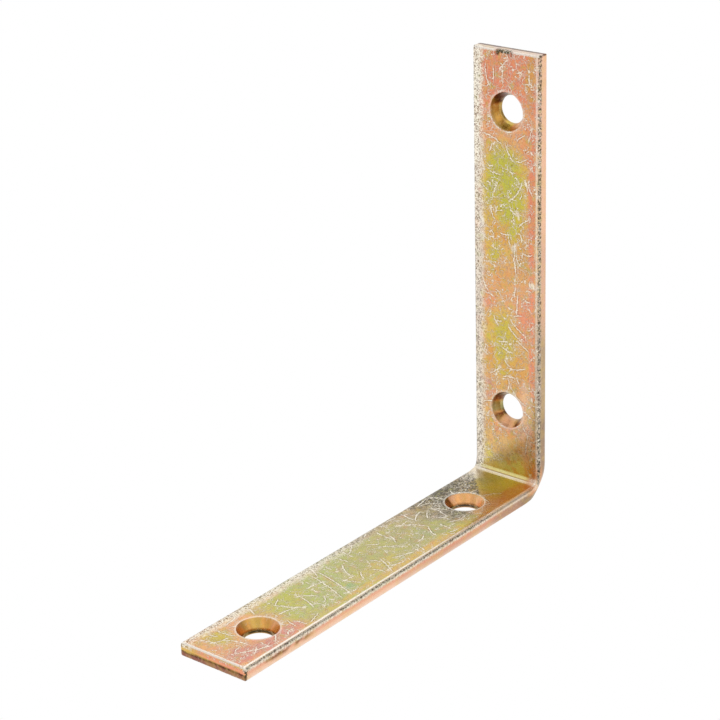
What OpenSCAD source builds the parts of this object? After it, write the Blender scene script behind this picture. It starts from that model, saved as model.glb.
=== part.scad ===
/* [Strip] */
// Height of the upright leg, from the back of the other leg to its end
upright_len = 100; // [60:1:200]
// Length of the foot leg, from the back of the other leg to its end
foot_len = 100; // [60:1:200]
// Width of the strip
strip_w = 17; // [14:0.5:30]
// Thickness of the strip
strip_t = 3; // [2.5:0.1:4]

/* [Bend] */
// Radius of the crease inside the bend
crease_r = 1.1; // [0.6:0.1:2]
// How much thinner the strip is across the middle of the bend
bend_thin = 0.6; // [0.2:0.05:0.9]
// How far each side draws in at the outside of the bend
draw_in = 0.8; // [0.2:0.05:1]
// Where the drawing in starts, measured along a leg from its back corner
draw_start = 8; // [6.5:0.5:12]

/* [Rolled edges] */
// Width of the gently rolled margin along each inner edge
margin_w = 2; // [1:0.1:3]
// Radius of that gentle roll
margin_r = 10; // [8:0.5:20]
// Rounding of the long edges on the inner faces
inner_edge_r = 0.7; // [0.3:0.05:1]
// Rounding of the long edges on the outer faces
outer_edge_r = 0.45; // [0.2:0.05:0.6]

/* [Sheared ends] */
// Rolled-over radius where the shear entered, on the inner face
end_roll_r = 0.45; // [0.2:0.05:0.8]
// Height of the broken band next to the outer face
break_h = 0.8; // [0.3:0.1:1.2]
// How far the broken band falls back
break_in = 0.15; // [0.05:0.05:0.4]
// Rounding of the four corners of the ends
end_corner_r = 0.4; // [0.2:0.1:1.5]

/* [Screw holes] */
// Diameter of the through holes
hole_d = 6.6; // [4:0.1:7]
// Diameter of the countersinks at the inner faces
sink_d = 8.7; // [7.6:0.1:9.6]
// Depth of the countersinks
sink_depth = 2.1; // [1.2:0.1:2.3]
// Rounding of the countersink rims
rim_r = 0.25; // [0.1:0.05:0.4]
// From the back corner to the middle of the near holes
near_hole = 19; // [14:0.5:30]
// From the end of a leg to the middle of its far hole
end_hole = 13; // [8:0.5:20]
// How far all the holes sit to one side of the strip's middle line
hole_side = 0.25; // [0:0.05:0.5]

/* [Hidden] */
$fn = 96;
// Clearance by which a cut passes the surface that it opens on
over = 1;
// Half the width of the flat between the rolled margins
flat_half = strip_w / 2 - margin_w;
// How far the gentle roll falls by the side of the strip
margin_drop = margin_r - sqrt(margin_r * margin_r - margin_w * margin_w);
// Middle of the crease and of the outer curve, on the bend's diagonal
crease_mid = strip_t + crease_r * (1 - sqrt(0.5));
back_mid = crease_mid - (strip_t - bend_thin) * sqrt(0.5);
// Radius of the outer curve that leaves that thickness
back_r = back_mid / (1 - sqrt(0.5));
// Distances along the diagonal, from the sharp corner of the backs
back_dist = back_mid * sqrt(2);
draw_dist = draw_start * sqrt(0.5);
// Radius of the barrel that draws the sides in
draw_reach = draw_dist - back_dist;
barrel_r = (draw_reach * draw_reach + draw_in * draw_in) / (2 * draw_in);
// The barrel stands this far proud, so that it meets the side at a slight angle
barrel_proud = 0.01;
// Radius of the swelling that squares off the ends of the crease
swell_r = 4.4;
// Slope of the countersink's wall from the hole's axis
sink_slope = atan((sink_d - hole_d) / 2 / sink_depth);
// Middle of the rim's rounding, off the axis
rim_x = sink_d / 2 + rim_r / tan(45 + sink_slope / 2);
// The countersink's wall runs into the rounding, a little inside a true tangent
wall_run_in = 0.97 * rim_r;

// What a rounded corner of radius r leaves over, in the quarter up and right of 0,0
module corner_cut(r) {
    difference() {
        translate([-r, -r]) square(r + over);
        translate([-r, -r]) circle(r);
    }
}

// Section of the strip: outer face at x = 0, inner face at x = strip_t
module strip_section() {
    difference() {
        translate([0, -strip_w / 2]) square([strip_t, strip_w]);
        for (side = [-1, 1]) mirror([0, side < 0 ? 1 : 0]) {
            difference() {
                translate([strip_t - margin_r, flat_half]) square([margin_r + over, margin_w + over]);
                translate([strip_t - margin_r, flat_half]) circle(margin_r);
            }
            translate([strip_t - margin_drop, strip_w / 2]) corner_cut(inner_edge_r);
            translate([0, strip_w / 2]) mirror([1, 0]) corner_cut(outer_edge_r);
        }
    }
}

// Outline of one leg's end seen along its thickness, with rounded corners
module end_outline(leg_len) {
    difference() {
        translate([-over, -strip_w / 2 - over]) square([leg_len + over, strip_w + 2 * over]);
        for (side = [-1, 1]) mirror([0, side < 0 ? 1 : 0])
            translate([leg_len, strip_w / 2]) corner_cut(end_corner_r);
    }
}

// What the shear takes off a leg's end, seen from the side, leg along x
module shear_cut(leg_len) {
    translate([leg_len, strip_t]) corner_cut(end_roll_r);
    polygon([[leg_len, break_h], [leg_len - break_in, 0], [leg_len - break_in, -over],
             [leg_len + over, -over], [leg_len + over, break_h]]);
}

// One leg lying along x from the back corner, its outer face at z = 0
module leg(leg_len) {
    difference() {
        intersection() {
            rotate([0, 90, 0]) mirror([1, 0, 0]) linear_extrude(leg_len) strip_section();
            translate([0, 0, -over]) linear_extrude(strip_t + 2 * over) end_outline(leg_len);
        }
        rotate([90, 0, 0]) translate([0, 0, -strip_w]) linear_extrude(2 * strip_w) shear_cut(leg_len);
    }
}

// Swaps the two legs' directions: what lies along x stands along z
module upright() {
    rotate([0, -90, 0]) mirror([0, 0, 1]) children();
}

// Fillet in the crease, as wide as the flat between the rolled margins
module crease_fillet() {
    rotate([90, 0, 0]) translate([0, 0, -flat_half]) linear_extrude(2 * flat_half) difference() {
        translate([strip_t - over, strip_t - over]) square(crease_r + over);
        translate([strip_t + crease_r, strip_t + crease_r]) circle(crease_r);
    }
}

// What the bend leaves off the sharp corner of the two backs
module back_cut() {
    rotate([90, 0, 0]) translate([0, 0, -strip_w]) linear_extrude(2 * strip_w) difference() {
        translate([-over, -over]) square(back_r + over);
        translate([back_r, back_r]) circle(back_r);
    }
}

// What the stretched outside of the bend draws in at each side
module side_cut() {
    for (side = [-1, 1]) mirror([0, side < 0 ? 1 : 0, 0]) difference() {
        rotate([90, 0, 0]) translate([0, 0, -strip_w]) linear_extrude(strip_w / 2 + 2 * draw_in)
            polygon([[-over, -over], [draw_start + over, -over], [-over, draw_start + over]]);
        translate([draw_start / 2, strip_w / 2 - barrel_r + barrel_proud, draw_start / 2])
            rotate([0, 135, 0]) cylinder(h = 4 * draw_start, r = barrel_r, center = true);
    }
}

// The squeezed inside of the bend squares off the rolled edges beside the crease
module crease_swell() {
    for (side = [-1, 1]) mirror([0, side < 0 ? 1 : 0, 0]) intersection() {
        translate([crease_mid, strip_w / 2 - swell_r, crease_mid]) sphere(swell_r);
        rotate([90, 0, 0]) translate([0, 0, -strip_w]) linear_extrude(strip_w) {
            square([2 * draw_start, strip_t]);
            square([strip_t, 2 * draw_start]);
            difference() {
                translate([strip_t - over, strip_t - over]) square(crease_r + over);
                translate([strip_t + crease_r, strip_t + crease_r]) circle(crease_r);
            }
        }
    }
}

// One punched and countersunk hole along z, entered from the inner face
module screw_hole() {
    rotate_extrude() difference() {
        polygon([[0, -over], [hole_d / 2, -over], [hole_d / 2, strip_t - sink_depth],
                 [rim_x - wall_run_in * cos(sink_slope), strip_t - rim_r + wall_run_in * sin(sink_slope)],
                 [rim_x, strip_t - rim_r],
                 [rim_x, strip_t + over], [0, strip_t + over]]);
        translate([rim_x, strip_t - rim_r]) circle(rim_r);
    }
}

// The two holes of a leg lying along x
module leg_holes(leg_len) {
    for (x = [near_hole, leg_len - end_hole]) translate([x, hole_side, 0]) screw_hole();
}

// The whole strip, bent and punched; its origin is below the middle of the foot leg
module bracket() {
    color("goldenrod") translate([-foot_len / 2, 0, 0]) difference() {
        union() {
            difference() {
                union() {
                    leg(foot_len);
                    upright() leg(upright_len);
                    crease_fillet();
                }
                side_cut();
            }
            crease_swell();
        }
        back_cut();
        leg_holes(foot_len);
        upright() leg_holes(upright_len);
    }
}

bracket();
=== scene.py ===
import math

import bmesh
import bpy
import numpy as np
from mathutils import Matrix, Vector


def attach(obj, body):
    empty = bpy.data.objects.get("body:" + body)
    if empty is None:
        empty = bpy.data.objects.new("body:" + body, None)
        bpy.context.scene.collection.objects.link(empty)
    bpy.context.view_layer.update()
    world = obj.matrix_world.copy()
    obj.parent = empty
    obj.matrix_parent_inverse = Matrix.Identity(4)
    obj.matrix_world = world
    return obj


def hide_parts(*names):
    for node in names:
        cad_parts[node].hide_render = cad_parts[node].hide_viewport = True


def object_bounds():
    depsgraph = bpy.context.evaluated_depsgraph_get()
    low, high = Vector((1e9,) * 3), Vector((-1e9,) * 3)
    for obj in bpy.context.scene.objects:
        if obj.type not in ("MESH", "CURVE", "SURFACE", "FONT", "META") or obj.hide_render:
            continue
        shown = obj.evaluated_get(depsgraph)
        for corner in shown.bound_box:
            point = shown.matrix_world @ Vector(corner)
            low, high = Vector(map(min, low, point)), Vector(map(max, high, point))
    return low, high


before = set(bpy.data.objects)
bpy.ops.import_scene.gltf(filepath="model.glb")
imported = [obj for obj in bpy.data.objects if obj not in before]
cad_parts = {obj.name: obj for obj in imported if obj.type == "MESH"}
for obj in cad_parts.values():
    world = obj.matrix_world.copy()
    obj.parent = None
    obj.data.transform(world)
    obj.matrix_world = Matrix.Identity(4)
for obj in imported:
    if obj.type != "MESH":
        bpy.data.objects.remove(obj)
CAD_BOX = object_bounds()

MM = 0.001

# Sizes of the strip, in millimetres, measured on the frame where it shows them
LEG = (CAD_BOX[1].x - CAD_BOX[0].x) / MM
WIDTH = (CAD_BOX[1].y - CAD_BOX[0].y) / MM
THICK = 3.0
CREASE_R = 1.1
BEND_THIN = 0.6
DRAW_IN = 0.8
DRAW_START = 8.0
MARGIN_W = 2.0
MARGIN_R = 10.0
INNER_EDGE_R = 0.7
OUTER_EDGE_R = 0.45
END_ROLL_R = 0.45
END_CORNER_R = 0.4
END_BURR_R = 0.08
BREAK_H = 0.8
BREAK_IN = 0.15

# Holes, with the through hole and the upright's countersink as narrow as the photograph shows them
HOLE_R = 3.1
SINK_R = 4.35
UPRIGHT_SINK_R = 4.2
SINK_DEPTH = 2.1
RIM_R = 0.25
HOLE_EDGE = 0.12
HOLE_PLACES = (19.0, LEG - 13.0)
HOLE_SIDE = 0.25

# Sizes that follow from these
HALF_W = WIDTH / 2
FLAT_HALF = HALF_W - MARGIN_W
MARGIN_DROP = MARGIN_R - math.sqrt(MARGIN_R ** 2 - MARGIN_W ** 2)
SLANT = math.sqrt(0.5)
CREASE_MID = THICK + CREASE_R * (1 - SLANT)
BACK_MID = CREASE_MID - (THICK - BEND_THIN) * SLANT
BACK_R = BACK_MID / (1 - SLANT)
DRAW_DIST = DRAW_START * SLANT
DRAW_REACH = DRAW_DIST - BACK_MID / SLANT
BARREL_R = (DRAW_REACH ** 2 + DRAW_IN ** 2) / (2 * DRAW_IN)

# Spacing of the mesh's rows, along and across the strip, and the least gap before a curve starts
ROW = 0.45
COLUMN = 0.42
LEAST_GAP = 0.1

# Steps of the mesh round its curves
ROLL_STEPS = 6
INNER_EDGE_STEPS = 8
OUTER_EDGE_STEPS = 6
SIDE_STEPS = 5
BEND_STEPS = 28
END_STEPS = 6
HOLE_STEPS = 112
RIM_STEPS = 6

# The swelling beside the crease: size of the squared part, strength, and reach along the strip
SWELL_SIZE = 2.2
SWELL_SHARE = 0.9
SWELL_REACH = 1.5

# Where the ends' roundings start, the turn over which they set in, and the rings that fill the end faces
END_CAP = END_ROLL_R + 0.05
END_SET_IN = 0.3
END_FILL = (0.15, 0.32, 0.5, 0.68, 0.84)
BREAK_BOW = 0.7

# How far a hole's cutter passes the faces, and how it leaves the rim
CUT_OVER = 0.6
RIM_OUT = 0.02
RIM_PROUD = 0.0006

# Distances in metres below which points of the strip are welded and edges dissolved
WELD = 0.00002
DISSOLVE = 0.000005


# Section of the strip

def arc(cy, ct, radius, start, end, steps):
    """Points on an arc, angles in degrees from +y towards +t."""
    turn = np.radians(np.linspace(start, end, steps + 1))
    return [(cy + radius * math.cos(a), ct + radius * math.sin(a)) for a in turn]


def half_section():
    """Right half of the section, from the middle of the inner face round to the middle of the outer."""
    across = [(y, THICK) for y in np.arange(0, FLAT_HALF - LEAST_GAP, COLUMN)]
    lean = math.degrees(math.asin((MARGIN_W - INNER_EDGE_R) / MARGIN_R))
    roll = arc(FLAT_HALF, THICK - MARGIN_R, MARGIN_R, 90, 90 - lean, ROLL_STEPS)
    corner_t = roll[-1][1] - INNER_EDGE_R * math.cos(math.radians(lean))
    corner = arc(HALF_W - INNER_EDGE_R, corner_t, INNER_EDGE_R, 90 - lean, 0, INNER_EDGE_STEPS)[1:]
    side = [(HALF_W, t) for t in np.linspace(corner_t, OUTER_EDGE_R, SIDE_STEPS + 1)[1:-1]]
    low = arc(HALF_W - OUTER_EDGE_R, OUTER_EDGE_R, OUTER_EDGE_R, 0, -90, OUTER_EDGE_STEPS)
    under = [(y, 0.0) for y in np.arange(HALF_W - OUTER_EDGE_R - COLUMN, 0, -COLUMN)]
    return across + roll + corner + side + low + under


def full_section():
    """The closed section as an array of y and t, and the same with its rolled edges squared off."""
    right = half_section()
    left = [(-y, t) for y, t in right[::-1] if y > 0]
    ring = np.array(right + left)
    square = ring.copy()
    centre = np.array([HALF_W, THICK]) - SWELL_SIZE
    for i in np.nonzero((np.abs(ring[:, 0]) > FLAT_HALF) & (ring[:, 1] > THICK / 2))[0]:
        away = np.array([abs(ring[i, 0]), ring[i, 1]]) - centre
        square[i] = centre + away * min(SWELL_SIZE / away)
        square[i, 0] *= np.sign(ring[i, 0])
    return ring, square


# Path of the strip: outer and inner line, from the upright's end round to the foot's

def bend_rows():
    """Rows round the bend, evenly spread along the outer curve and along the inner line."""
    middle = THICK + CREASE_R
    straight = BACK_R - middle
    length = 2 * straight + CREASE_R * math.pi / 2
    rows = []
    for share in np.linspace(0, 1, BEND_STEPS + 1):
        turn, run = share * math.pi / 2, share * length
        bend = np.clip((run - straight) / CREASE_R, 0, math.pi / 2)
        inner_x = middle - CREASE_R * math.cos(bend) + max(run - length + straight, 0)
        inner_z = middle - CREASE_R * math.sin(bend) + max(straight - run, 0)
        rows.append((BACK_R * (1 - math.cos(turn)), BACK_R * (1 - math.sin(turn)), inner_x, inner_z))
    return rows


def path():
    """Rows of outer x and z, inner x and z, in millimetres from the sharp corner of the backs."""
    places = np.arange(LEG - END_CAP, BACK_R, -ROW)
    upright = [(0.0, z, THICK, z) for z in places]
    foot = [(x, 0.0, x, THICK) for x in places[::-1]]
    return np.array(upright + bend_rows() + foot)


def squared(row):
    """How far the rolled edges are squared off in a row, from its distance to the crease."""
    reach = math.hypot(row[2] - CREASE_MID, row[3] - CREASE_MID)
    return SWELL_SHARE * math.exp(-(reach / SWELL_REACH) ** 2)


def drawn_in(x, z):
    """Half width left by the drawing in at the outside of the bend."""
    short = np.maximum(DRAW_DIST - (x + z) * SLANT, 0)
    return HALF_W - (BARREL_R - np.sqrt(BARREL_R ** 2 - short ** 2))


def body_rings():
    """Rings of points along the strip, each an array of x, y, z in millimetres."""
    ring, square = full_section()
    rings = []
    for row in path():
        mix = squared(row)
        section = ring * (1 - mix) + square * mix
        share = section[:, 1:2] / THICK
        line = row[:2] * (1 - share) + row[2:] * share
        width = section[:, 0] * drawn_in(line[:, 0], line[:, 1]) / HALF_W
        rings.append(np.column_stack([line[:, 0], width, line[:, 1]]))
    return rings


def end_rings():
    """Rings that close an end, as y and t, each with its distance back from the end's face."""
    ring, _ = full_section()
    step = np.roll(ring, -1, 0) - np.roll(ring, 1, 0)
    normal = np.column_stack([-step[:, 1], step[:, 0]])
    normal /= np.linalg.norm(normal, axis=1)[:, None] * np.sign(normal[0, 1])
    up, sideways = np.maximum(normal[:, 1], 0), np.abs(normal[:, 0])
    radius = END_BURR_R + (END_ROLL_R - END_BURR_R) * up ** 2 + (END_CORNER_R - END_BURR_R) * sideways ** 2
    rings = []
    for turn in np.radians(np.linspace(0, 90, END_STEPS + 1))[1:]:
        inset = radius * (1 - np.cos(turn))
        back = END_CAP - (END_CAP - radius) * min(1.0, turn / END_SET_IN) - radius * np.sin(turn)
        rings.append((ring - normal * inset[:, None], back))
    edge = rings[-1][0]
    core = np.column_stack([np.clip(edge[:, 0], -HALF_W + THICK / 2, HALF_W - THICK / 2),
                            np.full(len(edge), THICK / 2)])
    for share in END_FILL:
        rings.append((edge * (1 - share) + core * share, np.zeros(len(edge))))
    return rings


def leg_points(upright, along, across, height):
    """Points of a leg as x, y and z, in millimetres from the sharp corner of the backs."""
    return np.column_stack([height, across, along] if upright else [along, across, height])


def end_points(upright):
    """The end rings of one leg in x, y, z, with the broken band set back."""
    rings = []
    for section, back in end_rings():
        fall = BREAK_IN * np.clip((BREAK_H - section[:, 1]) / BREAK_H, 0, 1) ** BREAK_BOW
        along = LEG - back - np.maximum(fall - back, 0)
        rings.append(leg_points(upright, along, section[:, 0], section[:, 1]))
    return rings


def strip_rings():
    """All rings of the strip, from the middle of the upright's end to the middle of the foot's."""
    return end_points(True)[::-1] + body_rings() + end_points(False)


def closed_mesh(name, rings, weld):
    """A closed mesh through rings of points, with its faces turned outwards."""
    count = len(rings[0])
    last = (len(rings) - 1) * count
    faces = []
    for start in range(0, last, count):
        for c in range(count):
            d = (c + 1) % count
            faces.append((start + c, start + d, start + count + d, start + count + c))
    faces.append(tuple(range(count))[::-1])
    faces.append(tuple(range(last, last + count)))
    mesh = bpy.data.meshes.new(name)
    points = (np.concatenate(rings) - (LEG / 2, 0, 0)) * MM
    mesh.from_pydata(points.tolist(), [], faces)
    bm = bmesh.new()
    bm.from_mesh(mesh)
    if weld:
        bmesh.ops.remove_doubles(bm, verts=bm.verts, dist=WELD)
        bmesh.ops.dissolve_degenerate(bm, edges=bm.edges, dist=DISSOLVE)
    if bm.calc_volume(signed=True) < 0:
        bmesh.ops.reverse_faces(bm, faces=bm.faces)
    bm.to_mesh(mesh)
    bm.free()
    return mesh


def linked(name, data):
    """A new object of that data in the scene."""
    made = bpy.data.objects.new(name, data)
    bpy.context.scene.collection.objects.link(made)
    return made


# Holes

def hole_profile(sink_r):
    """Radius and height of the hole's wall, from below the outer face to above the inner one."""
    slope = math.atan((sink_r - HOLE_R) / SINK_DEPTH)
    rim_x = sink_r + RIM_R * math.tan((math.pi / 2 - slope) / 2)
    land = THICK - SINK_DEPTH
    wall = [(HOLE_R + HOLE_EDGE, -CUT_OVER), (HOLE_R + HOLE_EDGE, 0.0), (HOLE_R, HOLE_EDGE)]
    wall += [(HOLE_R, height) for height in np.linspace(HOLE_EDGE, land, 4)[1:]]
    rim = []
    for turn in np.linspace(slope, math.pi / 2, RIM_STEPS + 1):
        rim.append((rim_x - RIM_R * math.cos(turn), THICK - RIM_R + RIM_R * math.sin(turn)))
    for share in (0.2, 0.4, 0.6, 0.8):
        wall.append((HOLE_R + (rim[0][0] - HOLE_R) * share, land + (rim[0][1] - land) * share))
    return wall + rim[:-1] + [(rim_x + RIM_OUT, THICK + RIM_PROUD), (rim_x + RIM_OUT, THICK + CUT_OVER)]


def hole_cutter(place, upright):
    """A closed solid of the shape that one punched and countersunk hole takes out."""
    turn = 2 * math.pi * np.arange(HOLE_STEPS) / HOLE_STEPS
    rings = []
    for radius, height in hole_profile(UPRIGHT_SINK_R if upright else SINK_R):
        along, across = place + radius * np.cos(turn), HOLE_SIDE + radius * np.sin(turn)
        rings.append(leg_points(upright, along, across, np.full(HOLE_STEPS, height)))
    return linked("cutter", closed_mesh("cutter", rings, weld=False))


def punched(piece):
    """Takes the four holes out of the strip and leaves plain mesh data."""
    cutters = [hole_cutter(place, upright) for upright in (True, False) for place in HOLE_PLACES]
    for cutter in cutters:
        cut = piece.modifiers.new("hole", "BOOLEAN")
        cut.operation, cut.solver, cut.object = "DIFFERENCE", "EXACT", cutter
    graph = bpy.context.evaluated_depsgraph_get()
    mesh = bpy.data.meshes.new_from_object(piece.evaluated_get(graph))
    piece.modifiers.clear()
    piece.data = mesh
    for cutter in cutters:
        bpy.data.objects.remove(cutter)


# Where a point of the finished mesh lies on the strip

def read_points(mesh):
    """The vertices in millimetres."""
    flat = np.empty(len(mesh.vertices) * 3, np.float32)
    mesh.vertices.foreach_get("co", flat)
    return flat.reshape(-1, 3).astype(float) / MM


def strip_places(points):
    """Whether each point is on the upright, its distance along and across, and its height."""
    x, y, z = points[:, 0] + LEG / 2, points[:, 1], points[:, 2]
    upright = z > x
    return upright, np.where(upright, z, x), y, np.where(upright, x, z)


def nearest_hole(along):
    """Distance along the leg of the nearer hole."""
    return np.where(np.abs(along - HOLE_PLACES[0]) < np.abs(along - HOLE_PLACES[1]), *HOLE_PLACES)


def around_hole(points):
    """Direction of each point round the axis of the nearer hole, in degrees."""
    _, along, across, _ = strip_places(points)
    return np.degrees(np.arctan2(along - nearest_hole(along), across - HOLE_SIDE))


def past_rim(points):
    """How far each point lies outside the countersink of the nearer hole, negative within it."""
    upright, along, across, _ = strip_places(points)
    away = np.hypot(along - nearest_hole(along), across - HOLE_SIDE)
    return away - np.where(upright, UPRIGHT_SINK_R, SINK_R)


# Seeded value noise for the colour fields

# Large numbers that scramble a cell's place into a value
SCRAMBLE = np.array([73856093, 19349663, 83492791])
SCRAMBLE_SEED = 2654435
SCRAMBLE_AGAIN = 1274126177
SEED_STEP = 17.31
LAYER_FADE = 1.7

# The noises: strength, size in millimetres, seed and number of layers
BORDER_ALONG = (2.2, 4.0, 3, 3)
FINE_BORDER_ALONG = (1.3, 1.1, 5, 3)
BORDER_ACROSS = (1.3, 3.0, 11, 3)
FINE_BORDER_ACROSS = (0.9, 1.0, 15, 3)
SIDE_DRIFT = (3, 6.0, 21, 3)
WALL_DRIFT = (14, 2.0, 31, 3)
WALL_STREAK = (0.16, 1.0, 37, 1)
END_DRIFT = (1, 3.0, 41, 3)
END_TEAR = (0.15, 1.5, 43, 3)
EDGE_DRIFT = (0.7, 2.0, 51, 3)
GREY_DRIFT = (3, 3.0, 61, 3)
BACK_BROAD = (1, 16.0, 71, 3)
BACK_OTHER = (1, 11.0, 81, 3)
SMUDGE_GRAIN = (1, 0.7, 91, 1)
STAIN_GRAIN = (1, 1.1, 97, 1)
MOTTLE_GRAIN = (1, 0.9, 101, 1)
CHIP_RAGS = (0.7, 0.7, 103, 1)


def lattice_noise(points, size, seed):
    """Smooth noise from -1 to 1 at points in millimetres, with features about size apart."""
    cell = points / size + seed * SEED_STEP
    base = np.floor(cell).astype(np.int64)
    part = cell - base
    part = part * part * (3 - 2 * part)
    total = np.zeros(len(points))
    for corner in range(8):
        offset = np.array([corner & 1, corner >> 1 & 1, corner >> 2 & 1])
        key = (base + offset) @ SCRAMBLE + seed * SCRAMBLE_SEED
        key = (key ^ (key >> 13)) * SCRAMBLE_AGAIN & 0x7FFFFFFF
        value = (key ^ (key >> 16)) % 65536 / 32767.5 - 1
        weight = np.prod(np.where(offset, part, 1 - part), axis=1)
        total += weight * value
    return total


def noise(points, strength, size, seed, layers):
    """Noise of that strength, with finer and weaker layers added."""
    total, weight = np.zeros(len(points)), 0.0
    for k in range(layers):
        total += lattice_noise(points, size / 2 ** k, seed + k) / LAYER_FADE ** k
        weight += 1 / LAYER_FADE ** k
    return strength * (total / weight)


def linear(code):
    """A six-digit screen colour as linear red, green and blue."""
    parts = [int(code[k:k + 2], 16) / 255 for k in (0, 2, 4)]
    return np.array([c / 12.92 if c <= 0.04045 else ((c + 0.055) / 1.055) ** 2.4 for c in parts])


# Colours of the chromate film
CORAL = linear("e69070")
SALMON = linear("f09c7a")
ROSE = linear("e49a8a")
PEACH = linear("ebae7c")
APRICOT = linear("f4c3a2")
GOLD = linear("dfb462")
OCHRE = linear("d69c5c")
YELLOW = linear("dfc05a")
LIME = linear("c8c04c")
SAGE = linear("b9bf78")
OLIVE = linear("b6ae74")
TEAL = linear("9dbb80")
MIST = linear("e3d2c4")
STONE = linear("b9a78f")
ASH = linear("7f785c")
UMBER = linear("8a5a34")
MAROON = linear("633423")
CREAM = linear("efd9b8")
BUTTER = linear("f4ea9c")
PALE = linear("fdf6ec")
DARK = linear("4c4434")
RUST = linear("dc965a")
AMBER = linear("e2a65a")
LILAC = linear("aa9c98")
DUSK = linear("a0856c")
KHAKI = linear("b59c7a")
CLAY = linear("d8ab8f")
BRONZE = linear("bd9074")
LEAF = linear("b9bd52")
BLUSH = linear("e08a6c")
BRIGHT = linear("fef6e4")
SHINE = linear("ffc294")

# Patches of the film: distance along the leg, across it, half length, half width, colour, strength
UPRIGHT_FILM = [
    (92, 0, 13, 12, CORAL, 1),
    (84, 2, 5, 9, PEACH, 0.7),
    (95, 6.3, 6, 1.2, OCHRE, 0.9),
    (80, 6.2, 6, 1.8, CORAL, 0.7),
    (69, -0.6, 12, 6.2, YELLOW, 1),
    (71.5, -0.4, 8.5, 5.2, LIME * 0.6 + LEAF * 0.4, 0.95),
    (64, 2.6, 6, 2.2, LIME, 0.8),
    (62, -3, 5, 2.4, GOLD, 0.9),
    (55, -3.6, 4, 1.8, YELLOW, 0.8),
    (54, 3.6, 7, 2.4, OCHRE, 0.5),
    (46, 0.5, 7, 6.2, PEACH, 0.95),
    (41, 4.6, 4.6, 2, SALMON, 0.9),
    (60, -1.6, 2.8, 2.4, AMBER, 0.8),
    (44, -4.2, 2.4, 1.6, SALMON, 0.8),
    (55, -3, 2.4, 1.4, LIME, 0.7),
    (49.5, -0.5, 3.2, 2.6, AMBER, 0.5),
    (45, -7.7, 14, 1, LILAC, 0.5),
    (35, -1.2, 8, 4.4, YELLOW, 0.9),
    (35, -0.5, 5, 2.4, LIME, 0.6),
    (28, 2.5, 5, 3.4, AMBER, 0.7),
    (30, -4.4, 3, 1.6, AMBER, 0.7),
    (23.5, -4.4, 2.2, 1.5, ROSE, 0.9),
    (20, 0, 5, 7, PEACH, 0.6),
    (14, 2, 4, 5, PEACH, 1),
    (15, 2, 2.6, 4, APRICOT, 0.5),
    (12, -3.5, 4, 3, GOLD, 0.8),
    (6.5, 0, 4.5, 9, YELLOW, 0.9),
    (8.5, 2, 5, 8, BUTTER, 0.6),
    (14.2, 1, 2.2, 5.5, SALMON * 1.05, 0.8),
    (9, -7.4, 9, 1.2, LILAC, 0.7),
    (23, 5.4, 4, 1.8, APRICOT, 0.6),
    # Pale patch at the upright's top left edge: painted highlight
    (94, -7.4, 4, 1, PALE, 0.8),
    (10.5, -1.5, 3, 4, PEACH, 0.6),
    (10.5, 3.8, 2.2, 2.6, GOLD, 0.6),
    (66, 6.7, 20, 0.9, CORAL, 0.95),
    (38, 6.7, 22, 0.9, SALMON, 1),
    (8, 6.6, 8, 1.8, RUST * 1.1, 0.8),
    # Pale band along the upright's left rounded edge: painted highlight
    (50, -7.4, 90, 1.5, MIST, 0.8),
    (16, 5.4, 10, 2.2, APRICOT * 1.03, 0.8),
]
FOOT_FILM = [
    (58, 0, 32, 12, SAGE, 1),
    (46, 0, 14, 7, OLIVE, 0.6),
    (76, -2, 6, 4, LIME, 0.45),
    (55, 3.6, 9, 1.8, YELLOW, 0.4),
    (63, 3.9, 1.6, 1, TEAL, 0.9),
    (93, 0, 12, 12, PEACH, 1),
    (94.5, -3.2, 3.2, 3.6, LIME, 0.75),
    (89, 5.8, 11, 2, ROSE, 0.6),
    (83, 5.6, 3.5, 1.8, ROSE, 0.8),
    (80, -6.6, 16, 1.2, CREAM, 0.6),
    (44, 6.7, 30, 1, GOLD, 0.75),
    (33, -1, 4, 6, STONE, 0.8),
    (36, 2.4, 3, 2.6, TEAL, 0.5),
    (34, -7.4, 22, 1.6, STONE, 0.8),
    (24, -2.5, 9, 5, ASH * 0.92, 0.8),
    (17, -5, 8, 5, ASH * 0.8, 0.95),
    (25, 2, 5, 5, STONE * 0.78, 0.9),
    (28, 5.6, 5, 2.4, LIME, 0.6),
    (36, 0, 7, 6, OLIVE * 0.9, 0.5),
    (31, 3.2, 4, 3.2, SAGE * 0.8, 0.7),
    (24, 1.5, 4, 4, ASH * 0.95, 0.75),
    (95, 5, 6, 3, ROSE * 0.92, 0.9),
    (86, 6.2, 5, 2, ROSE * 0.92, 0.8),
    (64, -6.8, 5, 1.6, MIST, 0.6),
    (8, 2, 9, 7.5, GOLD * 0.87, 0.9),
    (7, 1.5, 6, 6, LIME, 0.75),
    (9, 6.2, 6, 2, RUST * 0.85, 0.75),
    (17, 5.6, 3.5, 2, CLAY, 0.6),
    (6, -4, 4, 5, OLIVE, 0.7),
    (7, -6.5, 4, 2.4, PALE, 0.7),
]

# Side faces: distance along the leg, half length, colour
UPRIGHT_SIDE = [
    (75, 40, APRICOT),
    (50, 12, CLAY * 1.12),
    (26, 16, KHAKI),
    (11, 10, DUSK),
]
FOOT_SIDE = [
    (75, 45, APRICOT),
    (46, 8, CLAY * 1.12),
    (32, 13, CLAY * 0.75 + CORAL * 0.2),
    (13, 10, BRONZE * 0.87),
    (4, 6, DUSK * 0.85),
]
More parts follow.
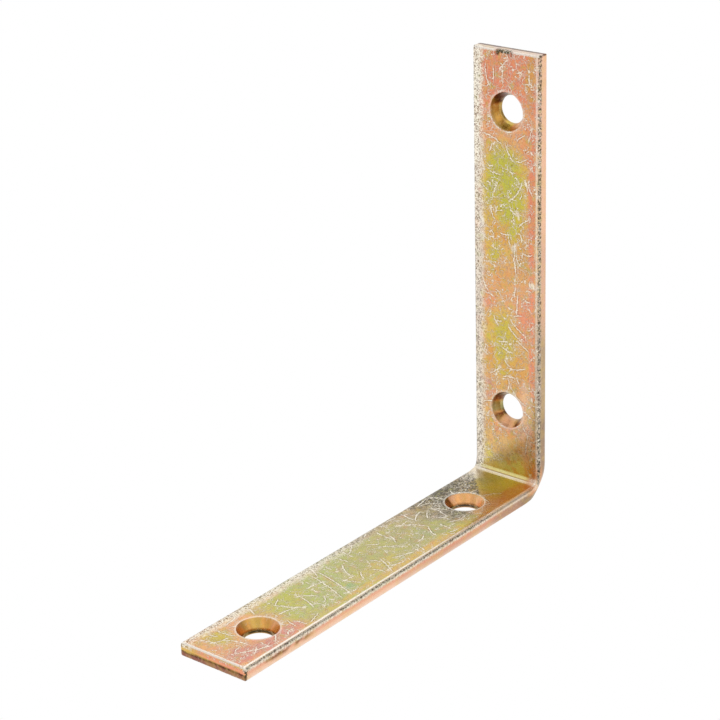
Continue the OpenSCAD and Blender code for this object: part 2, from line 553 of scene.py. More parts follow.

# Painted shade and highlights of the hole walls: direction round the axis in degrees, half spread, colour;
# for each leg and near or far hole
WALL_LIGHT_AND_SHADE = [
    (True, False, [
        (50, 50, CREAM),
        (122, 40, MAROON * 0.75),
        (185, 26, GOLD * 0.85),
        (228, 30, GOLD),
        (262, 18, YELLOW),
        (300, 18, RUST),
    ]),
    (True, True, [
        (50, 50, CREAM),
        (122, 34, MAROON * 0.9),
        (150, 14, UMBER),
        (186, 20, OLIVE),
        (222, 10, MAROON * 1.5),
        (262, 32, SHINE),
        (308, 12, UMBER),
    ]),
    (False, True, [
        (50, 80, CREAM),
        (232, 60, PEACH * 0.6 + AMBER * 0.5),
        (186, 14, SHINE),
        (154, 22, MAROON * 0.9),
        (290, 16, SHINE),
        (318, 12, CREAM),
    ]),
    (False, False, [
        (50, 80, PEACH),
        (232, 60, AMBER),
        (222, 20, GOLD * 0.85),
        (160, 20, RUST * 1.1),
        (290, 20, PEACH),
    ]),
]

# Painted highlight lines along the crease, with a painted shade line between them: first and last direction
# round it in degrees, colour, strength
CREASE_PAINTED_LINES = [
    (2, 36, BUTTER, 1.0),
    (52, 90, BRIGHT, 1.0),
    (40, 48, UMBER, 0.8),
]

# Painted highlights and glow at the crease's ends: start and full place across, reach, full distance,
# colour, strength
CREASE_END_LIGHT = [
    (4.6, 7.0, 5.0, 1.8, RUST, 0.9),
    (5.8, 7.0, 1.8, 0.8, APRICOT * 0.6 + BRIGHT * 0.4, 0.7),
    (-6.4, -7.6, 2.6, 1.2, PALE, 0.6),
]

# Relative distances from a patch's middle at which it ends and is full
PATCH_EDGE = (1.3, 0.6)

# How far off the crease's arc and past its ends a point still counts as on the crease
CREASE_DEPTH = 0.4
CREASE_SLACK = 0.05

# Pale chips of the upright's inner face: distance along, across, half length and half width
CHIPS = [
    (49.8, 6.9, 1.3, 0.7),
    (57.2, 2.3, 1, 0.7),
    (61.8, -6.3, 1.5, 0.7),
    (58.2, -6, 1.1, 0.6),
    (64.8, 3.3, 0.9, 0.5),
    (93.5, -7.2, 3, 0.7),
]


# Film colours

def ease(low, high, value):
    """0 at low, 1 at high and an even bend between them."""
    share = np.clip((value - low) / (high - low), 0, 1)
    return share * share * (3 - 2 * share)


def band(value, start, full, fade, end):
    """0 up to start, 1 from full to fade, 0 again from end on."""
    return ease(start, full, value) * ease(end, fade, value)


def blend(tone, colour, share):
    """Colours moved towards another one by a share for each point."""
    return tone * (1 - share[:, None]) + colour * share[:, None]


def plain(points, colour):
    """The same colour at each point."""
    return np.tile(colour, (len(points), 1))


def face_tone(points):
    """Film colour of the inner faces, from the patches and their drifting borders."""
    upright, along, across, _ = strip_places(points)
    along = along + (noise(points, *BORDER_ALONG) + noise(points, *FINE_BORDER_ALONG))
    sideways = noise(points, *BORDER_ACROSS) + noise(points, *FINE_BORDER_ACROSS)
    tone = plain(points, GOLD * 0.5 + PEACH * 0.5)
    for leg, patches in ((True, UPRIGHT_FILM), (False, FOOT_FILM)):
        for at, aside, half_long, half_wide, colour, strength in patches:
            lengthways = (along - at) / half_long
            crossways = (across + sideways * min(1, half_wide / 3) - aside) / half_wide
            share = strength * ease(*PATCH_EDGE, np.hypot(lengthways, crossways))
            tone = blend(tone, colour, share * (upright == leg))
    return tone


def face_marks(points, tone):
    """Adds the upright's pale chips and its amber mottling above the bend."""
    upright, along, across, height = strip_places(points)
    rags = noise(points, *CHIP_RAGS)
    for at, aside, half_long, half_wide in CHIPS:
        far = np.hypot((along - at) / half_long, (across - aside) / half_wide) + rags
        tone = blend(tone, PALE, 0.85 * ease(1.0, 0.6, far) * upright)
    mottled = upright * ease(14.5, 12.5, along) * ease(-2.5, 0, across) * (height > THICK / 2)
    mottled = mottled * ease(0.15, 0.35, noise(points, *MOTTLE_GRAIN))
    return blend(tone, AMBER * 1.1, 0.7 * mottled)


def side_tone(points):
    """Film colour of the side faces."""
    upright, along, _, _ = strip_places(points)
    along = along + noise(points, *SIDE_DRIFT)
    tone = plain(points, APRICOT)
    for leg, stretches in ((True, UPRIGHT_SIDE), (False, FOOT_SIDE)):
        for at, half_long, colour in stretches:
            share = 0.9 * ease(1.2, 0.5, np.abs(along - at) / half_long)
            tone = blend(tone, colour, share * (upright == leg))
    return tone


def side_marks(points, tone):
    """Adds the foot's sides their deeper upper half, pale lower one and the stain near the end."""
    upright, along, across, height = strip_places(points)
    side = ease(7.8, 8.2, np.abs(across)) * ~upright * ease(12, 24, along)
    stain = ease(9, 5, np.abs(along - 88)) * ease(-0.5, 0.1, noise(points, *STAIN_GRAIN))
    tone = blend(tone, SALMON * 0.88, 0.7 * side * band(height, 1.1, 1.8, 2.1, 2.3))
    tone = blend(tone, PALE, 0.3 * side * ease(1.1, 0.4, height))
    return blend(tone, UMBER, 0.95 * side * stain * band(height, 0.9, 1.5, 2.1, 2.3))


def back_tone(points):
    """Film colour of the outer faces: broad seeded patches."""
    broad, other = noise(points, *BACK_BROAD), noise(points, *BACK_OTHER)
    tone = blend(plain(points, PEACH), CORAL, 0.8 * ease(-0.1, 0.3, broad))
    tone = blend(tone, YELLOW, 0.85 * ease(0.05, 0.3, other))
    return blend(tone, SAGE, 0.7 * ease(0.2, 0.4, -broad))


def end_tone(points):
    """Film colour of the sheared ends, with the dark broken band next to the outer face."""
    upright, _, across, height = strip_places(points)
    tone = plain(points, SALMON)
    tone = blend(tone, GOLD, ease(-2, -6, across + noise(points, *END_DRIFT)))
    tone = blend(tone, LIME, 0.6 * ease(2.2, 2.6, height) * ease(0, 3, across))
    tone = blend(tone, MIST * 1.08, 0.85 * upright)
    torn = height + noise(points, *END_TEAR)
    broken = ease(1.3, 1.1, torn)
    tone = blend(tone, MAROON + 0.2 * ROSE, broken)
    tone = blend(tone, MAROON * 0.6, ease(0.2, 0.1, np.abs(torn - 1.15)))
    return blend(tone, MAROON * 0.8, upright * broken * ease(8.2, 6.5, across))


def edge_marks(points, tone, sheared):
    """Adds the misty right edges, lilac low on the upright, and the black smudge at its top."""
    upright, along, across, height = strip_places(points)
    edge = ease(7.5, 7.9, across) * ease(1.9, 2.2, height)
    tone = blend(tone, MIST, np.where(upright, 0.35, 0.75) * edge * (1 - sheared))
    tone = blend(tone, LILAC, 0.65 * edge * upright * ease(46, 32, along))
    smudge = upright * ease(98.85, 99.1, along) * ease(2.5, 1.7, np.abs(across + 0.3))
    smudge = smudge * (1 - sheared) * ease(THICK - 1.2, THICK - 0.8, height)
    return blend(tone, MAROON * 0.3, smudge * ease(-0.1, 0.1, noise(points, *SMUDGE_GRAIN)))


def wall_tone_and_light(points):
    """Film colour of the hole walls with painted shade and highlights round them, and painted shade at the
    throat.
    """
    upright, along, _, height = strip_places(points)
    turn = around_hole(points) + noise(points, *WALL_DRIFT)
    tone = plain(points, OCHRE)
    for leg, near, arcs in WALL_LIGHT_AND_SHADE:
        mine = (upright == leg) & ((along < LEG / 2) == near)
        for at, spread, colour in arcs:
            gap = np.abs((turn - at + 180) % 360 - 180)
            tone = blend(tone, colour, 0.95 * ease(1.25, 0.6, gap / spread) * mine)
    streaks = noise(np.column_stack([turn / 5, turn / 9, height * 0.4]), *WALL_STREAK)
    tone = tone * (1 + streaks[:, None])
    # Painted shade along the upright's countersink lips, above and below the hole
    lip_shade = upright * ease(THICK - 0.75, THICK - 0.4, height) * ease(80, 100, np.abs(turn))
    tone = blend(tone, MAROON * 0.7, 0.45 * lip_shade)
    # Painted shade in the throat of the through hole
    throat_shade = band(height, 0.05, 0.2, 0.8, 1.0)
    return blend(tone, DARK * 0.3, np.where(upright, 0.35, 0.95) * throat_shade)


def crease_place(points):
    """Direction from the crease's own middle in degrees, and whether a point lies on the crease."""
    middle = THICK + CREASE_R
    x, z = points[:, 0] + LEG / 2, points[:, 2]
    on_arc = np.abs(np.hypot(x - middle, z - middle) - CREASE_R) < CREASE_DEPTH
    turn = np.degrees(np.arctan2(middle - z, middle - x))
    return turn, on_arc & (np.maximum(x, z) < middle + CREASE_SLACK)


def crease_painted_light(points, tone):
    """Adds two painted highlight lines along the crease with a brown painted shade line between them, and
    the painted highlights and glow at its ends.
    """
    x, y, z = points[:, 0] + LEG / 2, points[:, 1], points[:, 2]
    turn, within = crease_place(points)
    # Painted highlights along the crease, and painted shade between them
    for first, last, colour, strength in CREASE_PAINTED_LINES:
        tone = blend(tone, colour, strength * band(turn, first - 5, first + 3, last - 3, last + 5) * within)
    reach = np.hypot(x - CREASE_MID, z - CREASE_MID)
    inside = np.minimum(x, z) > THICK / 2
    # Painted highlights and glow at the crease's ends
    for start, full, far, near, colour, strength in CREASE_END_LIGHT:
        share = ease(start, full, y) * ease(far, near, reach)
        tone = blend(tone, colour, strength * share * inside)
    return tone


def film_and_light(points, wall):
    """The film's colour at points in millimetres, with the painted light and shade of the crease and the
    hole walls; wall is 1 on the walls of the holes.
    """
    _, along, _, height = strip_places(points)
    tone = face_marks(points, face_tone(points))
    tone = blend(tone, side_tone(points), ease(THICK - 0.75, THICK - 1.0, height))
    tone = side_marks(points, tone)
    tone = blend(tone, back_tone(points), ease(0.25, 0.05, height))
    sheared = ease(LEG - 0.35, LEG - 0.15, along) * ease(THICK - 0.1, THICK - 0.35, height)
    tone = blend(tone, end_tone(points), sheared)
    tone = edge_marks(points, tone, sheared)
    tone = crease_painted_light(points, tone)
    return blend(tone, wall_tone_and_light(points), wall)


def sheen(points, wall):
    """1 where the film mirrors, less on the crease's lines and in the near holes' bright parts, where the
    lower metallic paints highlights.
    """
    upright, along, _, _ = strip_places(points)
    turn, within = crease_place(points)
    lines = (band(turn, -2, 5, 34, 42) + band(turn, 46, 54, 88, 95)) * within
    around = around_hole(points) % 360
    upright_part = 0.75 * ease(40, 22, np.abs(around - 262))
    foot_part = 0.35 * ease(75, 50, np.abs(around - 238))
    bright = np.where(upright, upright_part, foot_part) * (along < LEG / 2) * wall
    return 1 - 0.75 * lines - bright


# Wear and painted light

class WearAndLight:
    """Where points in millimetres lie, and the zones that their wear and painted light depend on."""

    def __init__(self, points):
        upright, along, across, height = strip_places(points)
        self.upright, self.along, self.across, self.height = upright, along, across, height
        self.foot, self.right = ~upright, across > 0
        drift = across + noise(points, *EDGE_DRIFT)
        inner = ease(THICK - 1.15, THICK - 0.9, height)
        self.drift, self.inner = drift, inner
        self.left = ease(-5.0, -6.2, drift) * inner
        fading = np.where(upright, 1.0, ease(10, 45, along))
        self.outermost = ease(-6.4, -7.2, drift) * inner * fading
        edge_y, edge_t = HALF_W - INNER_EDGE_R, THICK - MARGIN_DROP - INNER_EDGE_R
        self.angle = np.degrees(np.arctan2(np.abs(across) - edge_y, height - edge_t))
        self.corner = (np.abs(across) > edge_y - 0.02) & (height > edge_t - 0.3)
        self.edge = band(self.angle, 20, 30, 96, 116) * self.corner
        self.mirror = self.mirror_zone()
        # The grey zone of the foot near the bend: painted dark reflection
        grey = ease(32, 22, along + noise(points, *GREY_DRIFT)) * ease(5, 9, along)
        self.grey = self.foot * grey * ease(5.5, 2.0, drift) * (1 - self.mirror) * inner
        smudge = ease(99.0, 99.3, along) * ease(2.6, 1.7, np.abs(drift + 0.4))
        self.smudge = upright * smudge * inner
        self.past_rim = past_rim(points)

    def mirror_zone(self):
        """1 beside the crease, where each leg shows the other and the film is smooth."""
        along, across = self.along, self.across
        foot_zone = ease(13.6, 12.6, along - 1.06 * across)
        upright_zone = ease(1.0, -1.0, along - 6.4 - 0.35 * across) * ease(6.2, 4.6, across)
        return np.where(self.upright, upright_zone, foot_zone)

    def pale_speckle(self):
        """Pale speckle, mostly along the left edges; on the rounded edges it is painted highlight."""
        upright_share = 0.6 + 0.4 * ease(58, 84, self.along) + 0.15 * ease(34, 18, self.along)
        # Pale speckle of the rounded edges: painted highlight
        pale = (0.85 * self.left + 0.3 * self.outermost) * self.upright * upright_share
        pale = pale + (0.6 * self.left + 0.3 * self.outermost) * self.foot * ease(35, 60, self.along)
        pale = pale + np.where(self.foot, 0.7, 0.2) * self.edge * self.right + 0.05 * self.grey
        pale = pale * (1 - 0.6 * self.mirror * self.foot)
        return pale * (1 - 0.85 * self.edge * ~self.right * (self.foot | (self.along < 62)))

    def dark_speckle(self):
        """Dark speckle of the rounded edges, of the foot near the bend and of the smudge at the top; but
        for the smudge it is painted dark reflection.
        """
        foot, right, along, across = self.foot, self.right, self.along, self.across
        lower_left = ~right & np.where(foot, along > 40, along < 62)
        # The dark band of the rounded edges: painted dark reflection
        on_edge = np.select([right & foot, right | lower_left, foot & (along < 34)],
                            [0.76 * ease(76, 58, self.angle), 0.95, 0.25], 0.85)
        dark = on_edge * self.edge + self.grey
        dark = dark + np.where(foot, 0.4, 0.3) * self.outermost + np.where(foot, 0.25, 0.3) * self.left
        dark = dark + 0.1 * self.left * self.upright * ease(34, 20, along)
        dark = dark * np.where(foot, 0.3 + 0.7 * ease(9, 14, along - across), 1.0)
        # Painted dark reflection below the foot's right edge and at its end corner
        under = band(self.height, 1.6, 2.0, 2.2, 2.5) * (across > 7.5) * foot
        lower = self.upright * ease(18, 13, along) * self.inner
        lower = lower * ease(-1, 5, self.drift + 0.3 * along)
        post = foot * ease(HALF_W - 0.5, HALF_W - 0.25, across)
        post = post * ease(LEG - 0.7, LEG - 0.3, along)
        return np.clip(dark + 0.1 * under + self.smudge + 0.05 * lower + post, 0, 1)

    def painted_highlight_lines(self):
        """Painted highlight lines beside the right edges, round the ends and round the countersinks."""
        # Painted highlight beside the right edges
        beside = band(self.angle, -10, -1, 15, 25) * self.right * self.corner
        beside = beside * np.where(self.upright, 0.4, 0.8)
        # Painted highlight round the rolled ends
        rolled_end = ease(LEG - 0.5, LEG - 0.3, self.along)
        rolled_end = rolled_end * ease(THICK - 0.4, THICK - 0.2, self.height) * (1 - self.smudge)
        # Painted highlight round the countersinks' rims
        rim = band(self.past_rim, -0.1, 0.05, 0.25, 0.45) * self.inner * np.where(self.upright, 0.28, 0.45)
        return np.maximum(np.maximum(beside, 0.9 * rolled_end), rim)

    def worms(self):
        """Worm-like scratches, few in the mirror zones and in the golden one above the bend."""
        gold = self.upright * ease(14, 12, self.along) * band(self.across, -2.5, 0, 5.5, 6.5)
        worm = self.inner * (1 - 0.8 * self.mirror) * (1 - 0.6 * gold)
        worm = worm + 0.8 * ease(0.25, 0.05, self.height)
        return worm * np.where(self.foot, 0.8, 1.0)


def wear_and_light(points, wall):
    """Strengths of the pale speckle, the dark speckle, the painted highlight lines and the worm-like
    scratches; the speckle is partly painted highlight and painted dark reflection.
    """
    worn_and_lit = WearAndLight(points)
    strengths = [worn_and_lit.pale_speckle(), worn_and_lit.dark_speckle(), worn_and_lit.painted_highlight_lines(), worn_and_lit.worms()]
    return np.column_stack(strengths) * (1 - wall)[:, None]


# Single scratches of the inner faces

# On the upright or the foot: start, end and bow, as distances along and across
SCRATCHES = [
    (True, (98.2, 0.9), (95, -1.8), 0.3),
    (True, (97, -5), (91.5, -3.6), 0.6),
    (True, (81.6, -6.2), (79.4, -0.6), -0.5),
    (True, (79.6, 0.2), (76, 2.6), 0.4),
    (True, (72.8, 4.4), (67.3, 0.6), -0.7),
    (True, (66.6, 1), (64.6, 3.2), 0.5),
    (True, (64.4, 6.4), (62, 3.2), 0.3),
    (True, (60.8, 0.6), (57, 1.4), 0.2),
    (True, (59, 2.4), (50.5, 2.8), 0.3),
    (True, (50.7, 6.5), (48.9, 6.9), 0.6),
    (True, (58.3, 1.5), (56.5, 3.3), 0.3),
    (True, (47, 3.2), (41.5, 2.9), 0.1),
    (True, (41, 1), (37.5, 5.6), 0.5),
    (True, (39.4, 0.4), (36, 4.6), 0.4),
    (True, (36.2, 3), (34.2, 6.2), 0.2),
    (True, (29.2, 0), (30.2, 5.4), 0.5),
    (True, (25.6, 1), (21, 6), 0.9),
    (True, (16, 6.2), (9, 5.2), 0.2),
    (False, (62.5, -5.4), (66, 7.2), 0.4),
    (False, (64.5, -5.8), (68.2, 6.4), 0.4),
    (False, (50.5, 1.5), (53.5, 7.3), 0.2),
    (False, (47, -2), (44.6, 1.6), 0.5),
    (False, (57, -3.2), (60, 2), -0.4),
    (False, (73.5, -2), (70, 2.4), 0.6),
    (False, (78.6, -4), (74.5, 3), -0.6),
    (False, (81, 3.8), (80.2, 7.3), 0.3),
    (False, (94.8, -2.2), (93, 3.4), 0.5),
    (False, (97.2, -6), (96.4, -1), 0.2),
    (False, (97.6, 2.8), (90, 7), -0.4),
    (False, (36, -4), (33, 1), 0.5),
]

# Seeded scratches: how many, their seed, their share on the upright and the ranges they are drawn from
SEEDED = 300
SEED = 7
UPRIGHT_SHARE = 0.4
START_ALONG = (14, 98)
START_ACROSS = (-7.4, 6.8)
END_ACROSS = (-7.6, 7.0)
LENGTHS = (1.2, 4.0)
FOOT_LONGER = 1.5
BOWS = (-0.6, 0.6)

# Least gap between two scratches of a layer, and how far out and how deep a scratch is stored in the mesh
SCRATCH_APART = 1.5
SCRATCH_REACH = 0.75
SCRATCH_DEPTH = 0.6
SCRATCH_STEPS = 8
NO_SCRATCH = 1.0


def bowed(start, end, bow):
    """Points along a shallow bow from start to end."""
    start, end = np.array(start), np.array(end)
    share = np.linspace(0, 1, SCRATCH_STEPS + 1)[:, None]
    side = np.array([start[1] - end[1], end[0] - start[0]])
    side = side / np.linalg.norm(side)
    return start * (1 - share) + end * share + side * bow * 4 * share * (1 - share)


def seeded_scratches():
    """Short scratches with their leg, spread by chance; the foot's are longer."""
    chance = np.random.RandomState(SEED)
    made = []
    for _ in range(SEEDED):
        start = np.array([chance.uniform(*START_ALONG), chance.uniform(*START_ACROSS)])
        way, reach = chance.uniform(0, 2 * math.pi), chance.uniform(*LENGTHS)
        upright = chance.rand() < UPRIGHT_SHARE
        reach = reach if upright else FOOT_LONGER * reach
        end = start + reach * np.array([math.cos(way), math.sin(way)])
        end[1] = np.clip(end[1], *END_ACROSS)
        made.append((upright, bowed(start, end, chance.uniform(*BOWS))))
    return made


def clear_of(line, others):
    """Whether a scratch keeps its distance from all the others."""
    return all(np.linalg.norm(line[:, None] - other, axis=2).min() > SCRATCH_APART for other in others)


def layered_scratches():
    """All scratches that find room, by leg and by one of two layers."""
    layers = {(upright, layer): [] for upright in (True, False) for layer in (0, 1)}
    drawn = [(upright, bowed(start, end, bow)) for upright, start, end, bow in SCRATCHES]
    for upright, line in drawn + seeded_scratches():
        for layer in (0, 1):
            if clear_of(line, layers[upright, layer]):
                layers[upright, layer].append(line)
                break
    return layers


def line_fields(flat, line):
    """Distance of points to a scratch, the same with a sign for its side, and the share of its run."""
    best = np.full(len(flat), np.inf)
    signed, run = np.zeros(len(flat)), np.zeros(len(flat))
    for k, step in enumerate(np.diff(line, axis=0)):
        away = flat - line[k]
        share = np.clip(away @ step / (step @ step), 0, 1)
        far = np.linalg.norm(away - share[:, None] * step, axis=1)
        side = np.where(step[0] * away[:, 1] < step[1] * away[:, 0], -1, 1)
        closer = far < best
        best = np.where(closer, far, best)
        signed = np.where(closer, side * far, signed)
        run = np.where(closer, (k + share) / SCRATCH_STEPS, run)
    return best, signed, run


def scratch_fields(points):
    """For two layers of scratches: signed distance to the nearest one, and how clearly it shows."""
    upright, along, across, height = strip_places(points)
    flat = np.column_stack([along, across])
    fields = np.tile([NO_SCRATCH, 0.0, NO_SCRATCH, 0.0], (len(points), 1))
    for (leg, layer), lines in layered_scratches().items():
        on_leg = (upright == leg) & (height > THICK - SCRATCH_DEPTH)
        for line in lines:
            low, high = line.min(0) - 2 * SCRATCH_REACH, line.max(0) + 2 * SCRATCH_REACH
            rows = np.nonzero(on_leg & np.all((flat > low) & (flat < high), axis=1))[0]
            best, signed, run = line_fields(flat[rows], line)
            shows = ease(SCRATCH_REACH, 0.5, best) * band(run, 0, 0.12, 0.85, 1)
            reached = best < SCRATCH_REACH
            fields[rows[reached], 2 * layer] = signed[reached]
            fields[rows[reached], 2 * layer + 1] = shows[reached]
    return fields


def add_four(mesh, name, values):
    """Stores four numbers for each vertex as one colour field."""
    field = mesh.attributes.new(name, "FLOAT_COLOR", "POINT")
    field.data.foreach_set("color", np.ascontiguousarray(values, np.float32).ravel())


def dress(mesh):
    """Gives the mesh the fields that its material reads."""
    points = read_points(mesh)
    wall = ease(0.02, -0.1, past_rim(points))
    scratches = scratch_fields(points)
    scratches[:, 1::2] *= 1 - wall[:, None]
    # The film colour with its painted light and shade, and the metallic with its painted highlights
    add_four(mesh, "film_and_light", np.column_stack([film_and_light(points, wall), sheen(points, wall)]))
    add_four(mesh, "wear_and_light", wear_and_light(points, wall))
    add_four(mesh, "scratch", scratches)


# Node material

# Noises of the material: scale per millimetre, detail, roughness, distortion
GRAIN = (1.3, 5.0, 0.7, 0.0)
SPECK = (1.9, 3.0, 0.7, 0.6)
FINE = (3.6, 2.0, 0.7, 0.0)
CLOUDS = (0.45, 3.0, 0.6, 0.0)
HUES = (0.4, 4.0, 0.68, 0.0)

# Squiggles: scale per millimetre, line width and seed; and the noise value from which they are kept
WIDE_SQUIGGLES = (0.5, 0.036, 3.0)
SMALL_SQUIGGLES = (0.78, 0.042, 9.0)
KEPT_FROM = 0.42


class Graph:
    """A short way to write shader nodes, into the emptied tree of a material or world."""

    def __init__(self, owner):
        owner.use_nodes = True
        self.tree = owner.node_tree
        self.tree.nodes.clear()

    def node(self, kind, inputs=None, **settings):
        """A node with its inputs, each a value or another node's output."""
        made = self.tree.nodes.new("ShaderNode" + kind)
        for key, value in settings.items():
            setattr(made, key, value)
        for key, value in (inputs or {}).items():
            if isinstance(value, bpy.types.NodeSocket):
                self.tree.links.new(value, made.inputs[key])
            else:
                made.inputs[key].default_value = value
        return made

    def math(self, operation, a, b=0.5):
        return self.node("Math", {0: a, 1: b}, operation=operation).outputs[0]

    def times(self, a, b):
        return self.math("MULTIPLY", a, b)

    def most(self, a, b):
        return self.math("MAXIMUM", a, b)

    def ramp(self, value, low, high, start=0.0, end=1.0):
        """Start at low, end at high and an even bend between them."""
        ends = {"Value": value, "From Min": low, "From Max": high, "To Min": start, "To Max": end}
        return self.node("MapRange", ends, interpolation_type="SMOOTHSTEP").outputs["Result"]

    def mix(self, share, a, b, blend_type="MIX"):
        """Mixes a colour output with a colour; the sockets 6 and 7 are the colour ones."""
        inputs = {0: share, 6: a, 7: (*b, 1.0)}
        return self.node("Mix", inputs, data_type="RGBA", blend_type=blend_type).outputs[2]

    def noise(self, where, scale, detail, rough, warp):
        inputs = {"Vector": where, "Scale": scale, "Detail": detail, "Roughness": rough, "Distortion": warp}
        return self.node("TexNoise", inputs).outputs["Fac"]

    def vector(self, operation, a, b):
        return self.node("VectorMath", {0: a, 1: b}, operation=operation).outputs[0]

    def scaled(self, a, scale):
        return self.node("VectorMath", {0: a, "Scale": scale}, operation="SCALE").outputs[0]

    def field(self, name):
        """The colour of a stored field, and its fourth number."""
        made = self.node("Attribute", attribute_name=name)
        return made.outputs["Color"], made.outputs["Alpha"]

    def four(self, name):
        """The four numbers of a stored field."""
        colour, fourth = self.field(name)
        return (*self.node("SeparateColor", {0: colour}).outputs, fourth)


def squiggles(g, where, scale, width, seed):
    """Broken worm-like lines and the painted shade round them: borders of warped cells, kept where a noise
    allows.
    """
    moved = g.vector("ADD", where, (seed, seed * 1.7, -seed))
    warp = g.node("TexNoise", {"Vector": moved, "Scale": scale * 1.1, "Detail": 2.0}).outputs["Color"]
    bent = g.vector("ADD", moved, g.scaled(g.vector("SUBTRACT", warp, (0.5, 0.5, 0.5)), 2.2 / scale))
    cells = g.node("TexVoronoi", {"Vector": bent, "Scale": scale}, feature="DISTANCE_TO_EDGE")
    border = cells.outputs["Distance"]
    kept = g.ramp(g.noise(moved, scale * 0.55, 1.0, 0.55, 0.0), KEPT_FROM, KEPT_FROM + 0.07)
    line, relief_shade = g.ramp(border, width, width * 0.3), g.ramp(border, width * 2.8, width * 1.2)
    return g.times(line, kept), g.times(relief_shade, kept)


def single_scratches(g, speck, fine):
    """The scratches of both stored layers and the painted shade round them, a little wavy and broken."""
    wave = g.math("SUBTRACT", speck, 0.5)
    first, first_shows, second, second_shows = g.four("scratch")
    lines, relief_shades = [], []
    for distance, shows in ((first, first_shows), (second, second_shows)):
        away = g.math("ABSOLUTE", g.math("ADD", distance, wave))
        lines.append(g.times(g.ramp(away, 0.17, 0.06), shows))
        relief_shades.append(g.times(g.ramp(away, 0.42, 0.2), shows))
    return g.times(g.most(*lines), g.ramp(fine, 0.32, 0.48, 0.35, 1.0)), g.most(*relief_shades)


def varied_film(g, mm, grain, fine, worm):
    """The painted film with clouds, drifting hues and fine pits."""
    tone, _ = g.field("film_and_light")
    tone = g.mix(g.ramp(g.noise(mm, *CLOUDS), 0.45, 0.62, 0.0, 0.22), tone, YELLOW)
    tone = g.mix(g.ramp(grain, 0.52, 0.72, 0.0, 0.4), tone, CREAM)
    hue = g.noise(mm, *HUES)
    tone = g.mix(g.times(g.ramp(hue, 0.52, 0.68, 0.0, 0.5), worm), tone, LEAF)
    tone = g.mix(g.times(g.ramp(hue, 0.46, 0.32, 0.0, 0.35), worm), tone, BLUSH)
    pits = g.times(g.ramp(fine, 0.5, 0.3, 0.0, 0.32), g.ramp(worm, 0.0, 1.0, 0.25, 1.0))
    return g.mix(pits, tone, UMBER, "MULTIPLY")


def chromated_zinc():
    """Yellow chromate on zinc: patchy film, pale worm-like scratches with painted shade round them,
    speckled rolled edges partly painted as highlight and dark reflection, and painted highlight lines.
    """
    material = bpy.data.materials.new("chromated_zinc")
    g = Graph(material)
    mm = g.scaled(g.node("TexCoord").outputs["Object"], 1 / MM)
    pale, dark, line, worm = g.four("wear_and_light")
    grain, speck, fine = (g.noise(mm, *kind) for kind in (GRAIN, SPECK, FINE))
    tone = varied_film(g, mm, grain, fine, worm)

    # Scratches and the painted shade round them
    wide, wide_relief_shade = squiggles(g, mm, *WIDE_SQUIGGLES)
    small, small_relief_shade = squiggles(g, mm, *SMALL_SQUIGGLES)
    single, single_relief_shade = single_scratches(g, speck, fine)
    worms = g.times(g.most(wide, g.times(small, 0.6)), worm)
    relief_shade = g.times(g.most(wide_relief_shade, small_relief_shade), worm)
    relief_shade = g.most(g.times(relief_shade, 0.45), g.times(single_relief_shade, 0.5))
    # Painted shade round the scratches, for their relief
    tone = g.mix(relief_shade, tone, UMBER, "MULTIPLY")
    marks = g.most(g.times(worms, 0.85), g.times(single, 0.9))

    # Speckle of the edges and of the grey zone, partly painted highlight and painted dark reflection
    grit = g.math("ADD", g.times(speck, 0.5), g.times(fine, 0.5))
    marks = g.most(marks, g.times(pale, g.most(g.ramp(grit, 0.47, 0.54), small)))
    # Dark speckle, painted dark reflection on the edges and near the bend
    spread = g.math("SUBTRACT", grit, g.times(dark, 0.1))
    tone = g.mix(g.times(dark, g.ramp(spread, 0.46, 0.38)), tone, DARK)
    tone = g.mix(marks, tone, BRIGHT)
    # Painted highlight lines of the edges, ends and countersinks
    tone = g.mix(g.times(line, g.ramp(fine, 0.25, 0.45)), tone, PALE)

    relief = g.math("ADD", g.times(grain, 0.5), g.times(marks, 0.4))
    bump = g.node("Bump", {"Strength": 0.45, "Distance": 0.00005, "Height": relief}).outputs[0]
    # The film's fourth number is the metallic, lowered for painted highlights on the crease and in the near
    # holes
    _, mirror = g.field("film_and_light")
    inputs = {"Base Color": tone, "Metallic": mirror, "Normal": bump}
    inputs["Roughness"] = g.ramp(grain, 0.3, 0.8, 0.24, 0.42)
    shader = g.node("BsdfPrincipled", inputs)
    g.node("OutputMaterial", {"Surface": shader.outputs[0]})
    return material


# Floor, light and camera

WHITE = (1, 1, 1, 1)
FLOOR_HALF = 1.5
FLOOR_DROP = 0.00005


def floor():
    """A plain white floor just below the strip."""
    corners = [(-1, -1), (1, -1), (1, 1), (-1, 1)]
    mesh = bpy.data.meshes.new("floor")
    points = [(x * FLOOR_HALF, y * FLOOR_HALF, -FLOOR_DROP) for x, y in corners]
    mesh.from_pydata(points, [], [(0, 1, 2, 3)])
    material = bpy.data.materials.new("pale_floor")
    g = Graph(material)
    bright = g.node("Emission", {"Color": WHITE, "Strength": 1.0})
    g.node("OutputMaterial", {"Surface": bright.outputs[0]})
    mesh.materials.append(material)
    board = linked("floor", mesh)


# Soft zones of the white surround: azimuth, elevation, outer and inner radius in degrees, and gain
LIGHT_ZONES = [
    (150, 22, 42, 12, 0.45),
    (198, 52, 34, 10, 1.22),
    (320, 20, 60, 15, 0.8),
]


def toward(azimuth, elevation):
    """The direction at these angles in degrees."""
    azimuth, elevation = math.radians(azimuth), math.radians(elevation)
    level = math.cos(elevation)
    return Vector((level * math.cos(azimuth), level * math.sin(azimuth), math.sin(elevation)))


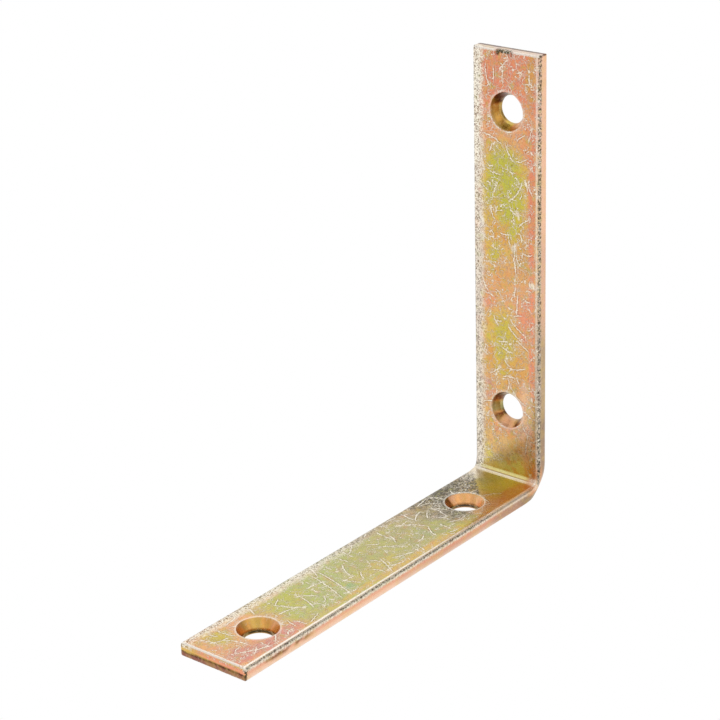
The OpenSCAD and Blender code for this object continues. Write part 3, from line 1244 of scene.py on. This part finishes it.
def studio():
    """A white surround with a darker side, a brighter patch high behind and a dimmer front."""
    world = bpy.data.worlds.new("studio")
    bpy.context.scene.world = world
    g = Graph(world)
    where = g.node("TexCoord").outputs["Generated"]
    strength = 1.0
    for azimuth, elevation, wide, narrow, gain in LIGHT_ZONES:
        inputs = {0: where, 1: toward(azimuth, elevation)}
        facing = g.node("VectorMath", inputs, operation="DOT_PRODUCT").outputs["Value"]
        edge, core = math.cos(math.radians(wide)), math.cos(math.radians(narrow))
        strength = g.times(g.ramp(facing, edge, core, 1.0, gain), strength)
    lit = g.node("Background", {"Color": WHITE, "Strength": strength}).outputs[0]
    seen = g.node("Background", {"Color": WHITE, "Strength": 1.0}).outputs[0]
    seen_directly = g.node("LightPath").outputs["Is Camera Ray"]
    choice = g.node("MixShader", {0: seen_directly, 1: lit, 2: seen})
    g.node("OutputWorld", {"Surface": choice.outputs[0]})


# The photograph's camera, from its place and its turn, in millimetres, degrees and pixels of a 720 frame
CAMERA_AT = (307.57, 252.76, 213.30)
CAMERA_AZIMUTH = 39.68
CAMERA_ELEVATION = 22.66
CAMERA_ROLL = 1.80
FOCAL_PIXELS = 2157.6
FRAME_PIXELS = 720
SENSOR = 36.0


def camera():
    """The camera of the photograph."""
    data = bpy.data.cameras.new("camera")
    data.sensor_width = SENSOR
    data.lens = FOCAL_PIXELS * SENSOR / FRAME_PIXELS
    data.clip_start, data.clip_end = 0.01, 20.0
    back = toward(CAMERA_AZIMUTH, CAMERA_ELEVATION)
    right = Vector((0, 0, 1)).cross(back).normalized()
    roll = math.radians(CAMERA_ROLL)
    turned_right = right * math.cos(roll) - back.cross(right) * math.sin(roll)
    eye = linked("camera", data)
    eye.matrix_world = Matrix((turned_right, back.cross(turned_right), back)).transposed().to_4x4()
    eye.location = Vector(CAMERA_AT) * MM
    bpy.context.scene.camera = eye


# Edges sharper than this many degrees stay sharp in the shading
SHARP_FROM = 32


def bracket():
    """The bent, punched and plated strip, in place of the solid."""
    piece = linked("bracket_finish", closed_mesh("bracket_finish", strip_rings(), weld=True))
    punched(piece)
    mesh = piece.data
    dress(mesh)
    for polygon in mesh.polygons:
        polygon.use_smooth = True
    mesh.set_sharp_from_angle(angle=math.radians(SHARP_FROM))
    even = piece.modifiers.new("even", "WEIGHTED_NORMAL")
    even.keep_sharp = True
    mesh.materials.clear()
    mesh.materials.append(chromated_zinc())
    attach(piece, "root")
    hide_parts("bracket")


bpy.context.scene.view_settings.view_transform = "Standard"
bracket()
floor()
studio()
camera()
